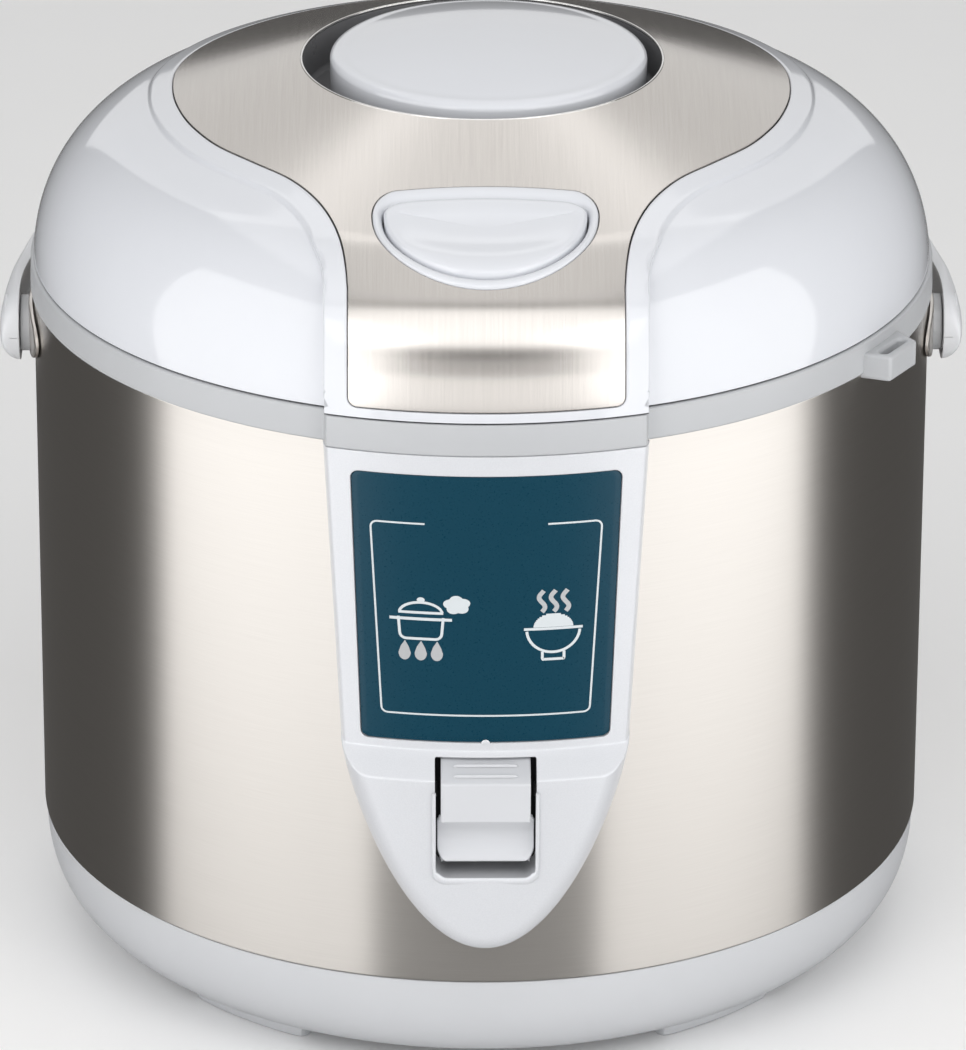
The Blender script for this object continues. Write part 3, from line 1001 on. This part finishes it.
# escutcheons and pivots on the steel
for s in (-1, 1):
    V = []
    m_ = 48
    rings = [(1.0, 0.0), (1.0, 0.75), (0.985, 1.0), (0.95, 1.12), (0.9, 1.15), (0.6, 1.15), (0.3, 1.15), (0.02, 1.15)]
    for k, h in rings:
        for t in np.linspace(0, 2 * math.pi, m_, endpoint=False):
            u = 29 * k * math.copysign(abs(math.cos(t)) ** 0.85, math.cos(t))
            z = 8.2 * k * math.sin(t) + 1.3 - 0.08 * u
            a = u / (R + 1)
            V.append((s * (R + h) * math.cos(a), (R + h) * math.sin(a), PZ + z))
    make("escutcheon_" + ("l" if s < 0 else "r"), V, gridfaces(len(rings), m_, wrap_c=True), BODY, "brushed_steel", "collar_plastic", 45)
    pr_ = rounded([(8.5, R + 0.9), (8.5, R + 3.6), (4.0, R + 3.6), (4.0, R + 8.4), (0.01, R + 8.4)], 0.4, 3)
    v = [(s * h, r_ * math.cos(a), PZ + r_ * math.sin(a)) for r_, h in pr_ for a in np.linspace(0, 2 * math.pi, 48, endpoint=False)]
    piv = make("pivot_boss_" + ("l" if s < 0 else "r"), v, gridfaces(len(pr_), 48, wrap_c=True), BODY, "collar_plastic", "collar_plastic", 45)
    if s > 0:
        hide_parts("handle_pivots")

# ------------------------------------------------------------------ rear: hinge, knuckle, collector
def lug(cy, cz, r, tail, n=24):
    a = np.radians(np.linspace(-62, 150, n))
    return [(cy + r * math.cos(t), cz + r * math.sin(t)) for t in a] + tail


hb = []
for s_ in (-1, 1):
    o = slab("hinge_lug_" + ("l" if s_ < 0 else "r"), lug(HY, HZ, 6.5, [(132.0, HZ + 3.6), (132.0, HZ - 11.8), (HY + 2, HZ - 11.8)]), min(s_ * 30, s_ * 36), max(s_ * 30, s_ * 36), "collar_plastic", "collar_plastic", BODY, 0.7, axis="x")
    v, f = [], []
    pr_ = rounded([(2.6, 0), (2.6, 0.9), (3.8, 0.9), (3.8, 0)], 0.25, 2)
    v = [(s_ * (36.0 + h * 0.6), HY + r_ * math.cos(a), HZ + r_ * math.sin(a)) for r_, h in pr_ for a in np.linspace(0, 2 * math.pi, 32, endpoint=False)]
    make("hinge_eye_" + ("l" if s_ < 0 else "r"), v, gridfaces(len(pr_), 32, wrap_c=True), BODY, "collar_plastic", "collar_plastic", 50)
arcp = [((R + 0.45) * math.sin(a), (R + 0.45) * math.cos(a)) for a in np.linspace(-math.asin(36 / (R + 0.45)), math.asin(36 / (R + 0.45)), 30)]
plate = slab("hinge_plate", arcp + [(36, HY + 1.5), (33.5, HY + 4), (-33.5, HY + 4), (-36, HY + 1.5)], HZ - 12, HZ - 6.5, "collar_plastic", "collar_plastic", BODY, 0.6, cad=("hinge_bracket",))
kn = slab("knuckle_arm", [(HY + 5.5, HZ), (HY + 5.5, LZ + 4), (HY + 4.0, LZ + 9), (HY - 2, LZ + 16), (R - 9, LZ + 19), (R - 14, LZ + 19), (R - 8, LZ + 3), (R - 3, LZ + 0.6), (HY - 5, LZ + 0.5), (HY - 5, HZ + 1)], -22, 22, "lid_plastic", "lid_plastic", LID, 1.6, axis="x", segs=4)
kp = rounded([(2.6, 22), (5.5, 22), (5.5, -22), (2.6, -22)], 0.6, 3)
v = [(h, HY + r_ * math.cos(a), HZ + r_ * math.sin(a)) for r_, h in kp for a in np.linspace(0, 2 * math.pi, 48, endpoint=False)]
make("knuckle_barrel", v, gridfaces(len(kp), 48, wrap_c=True, wrap_r=True), LID, "lid_plastic", "lid_plastic", 45, cad=("lid_knuckle",))


def cup(w, yb, cr, ri, n=30):
    a = math.asin(w / ri)
    out = [(ri * math.sin(t), ri * math.cos(t)) for t in np.linspace(-a, a, n)]
    out += [(w, yb - cr)] + [(w - cr + cr * math.cos(t), yb - cr + cr * math.sin(t)) for t in np.radians(np.linspace(10, 90, 9))]
    out += [(-w + cr - cr * math.sin(t), yb - cr + cr * math.cos(t)) for t in np.radians(np.linspace(0, 80, 9))] + [(-w, yb - cr)]
    return out


col = slab("collector_cup", cup(34, R + 24, 6.5, R + 0.45), CZ - 52, CZ - 18, "clear_plastic", "clear_plastic", "condensation_collector", 0)
boolean(col, [prism(cup(32, R + 22, 5, R + 2.6), CZ - 50, CZ - 10)])
bvc = col.modifiers.new("bv", "BEVEL"); bvc.width = 0.0006; bvc.segments = 3; bvc.limit_method = "ANGLE"; bvc.angle_limit = math.radians(50)
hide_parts("condensation_collector")
cr_ = []
for k in range(3):
    for x in np.linspace(-14, 14, 24):
        t = min(1.0, (14 - abs(x)) / 1.4); hgt = 0.7 * math.sqrt(max(0, 1 - (1 - t) ** 2))
        for a in np.radians(np.linspace(0, 180, 8)):
            cr_.append((x, R + 23.35 + 0.6 * math.sin(a) * min(1, hgt * 1.6), CZ - 24 - 3.4 * k + 0.8 * math.cos(a) * (0.3 + 0.7 * t)))
make("collector_ribs", cr_, sum([[tuple(192 * k + q for q in f) for f in gridfaces(24, 8)] for k in range(3)], []), "condensation_collector", "clear_plastic", "clear_plastic", 60)

# ------------------------------------------------------------------ floor, camera, light
floor = make("floor", *revolve([(1, 0), (300, 0), (700, 0), (1300, 0), (2200, 0), (3500, 0), (5500, 0), (8500, 0), (14000, 0)], 96), None, "lid_plastic", sharp=80)
fm = plastic("floor_pale", (0.94, 0.94, 0.94), 0.6, grain=300, vary=0.004, bevel=0)
floor.data.materials[0] = fm

D_, H_, YAW, PITCH, ROLL = 13.5437, 6.6415, 0.0004, 0.4170, 0.0035
ALPHA = math.radians(-0.68)
P = np.array([0.0, -D_ * R, H_ * R])
fwd = np.array([math.sin(YAW) * math.cos(PITCH), math.cos(YAW) * math.cos(PITCH), -math.sin(PITCH)])
rgt = np.array([math.cos(YAW), -math.sin(YAW), 0.0]); up = np.cross(rgt, fwd)
r2 = math.cos(ROLL) * rgt + math.sin(ROLL) * up
u2 = -math.sin(ROLL) * rgt + math.cos(ROLL) * up
Rz = np.array([[math.cos(ALPHA), -math.sin(ALPHA), 0], [math.sin(ALPHA), math.cos(ALPHA), 0], [0, 0, 1]])
P, fwd, r2, u2 = Rz @ P, Rz @ fwd, Rz @ r2, Rz @ u2
cam = bpy.data.cameras.new("cam")
cam.sensor_fit = "AUTO"; cam.sensor_width = 36
cam.lens = 6535.8 / 1050 * 36
cam.clip_end = 50
co = bpy.data.objects.new("cam", cam)
co.matrix_world = Matrix(((r2[0], u2[0], -fwd[0], P[0] / 1000), (r2[1], u2[1], -fwd[1], (P[1] - OY) / 1000), (r2[2], u2[2], -fwd[2], (P[2] + G) / 1000), (0, 0, 0, 1)))
bpy.context.scene.collection.objects.link(co)
bpy.context.scene.camera = co


def area(name, loc, target, size, power, color=(1, 1, 1)):
    l = bpy.data.lights.new(name, "AREA")
    l.shape = "RECTANGLE"; l.size, l.size_y = size
    l.energy = power; l.color = color
    o = bpy.data.objects.new(name, l)
    bpy.context.scene.collection.objects.link(o)
    d = Vector(target) - Vector(loc)
    o.matrix_world = Matrix.Translation(loc) @ d.to_track_quat("-Z", "Y").to_matrix().to_4x4()
    return o


def side(name, azimuth, elevation, dist, size, power, aim=(0, 0, 0.12), color=(1, 1, 1)):
    a, e = math.radians(azimuth), math.radians(elevation)
    return area(name, (dist * math.sin(a) * math.cos(e), -OY / 1000 - dist * math.cos(a) * math.cos(e), dist * math.sin(e) + aim[2]), aim, size, power, color)


side("soft_left", -55.5, 10, 1.30, (1.56, 1.9), 16.2)
side("soft_right", 57, 10, 1.30, (1.54, 1.9), 16.2)
side("soft_front", 0, 49.5, 2.60, (3.4, 1.45), 23.0, (0, 0, 0.2))
side("soft_low", 0, -1, 3.00, (3.6, 1.4), 17.5, (0, 0, 0.25))
side("soft_mid", 0, 18.5, 3.00, (3.6, 0.62), 3.2, (0, 0, 0.25))
area("soft_top", (0, 0.42, 2.3), (0, 0.42, 0), (2.4, 2.5), 15.5)
area("soft_back", (0, 1.75, 1.35), (0, 0, 0.5), (2.2, 2.0), 10.0)

w = bpy.data.worlds.new("studio")
w.use_nodes = True
w.node_tree.nodes["Background"].inputs["Color"].default_value = (1.0, 0.975, 0.95, 1)
w.node_tree.nodes["Background"].inputs["Strength"].default_value = 0.08
bpy.context.scene.world = w
bpy.context.scene.view_settings.view_transform = "Standard"
floor.visible_glossy = False
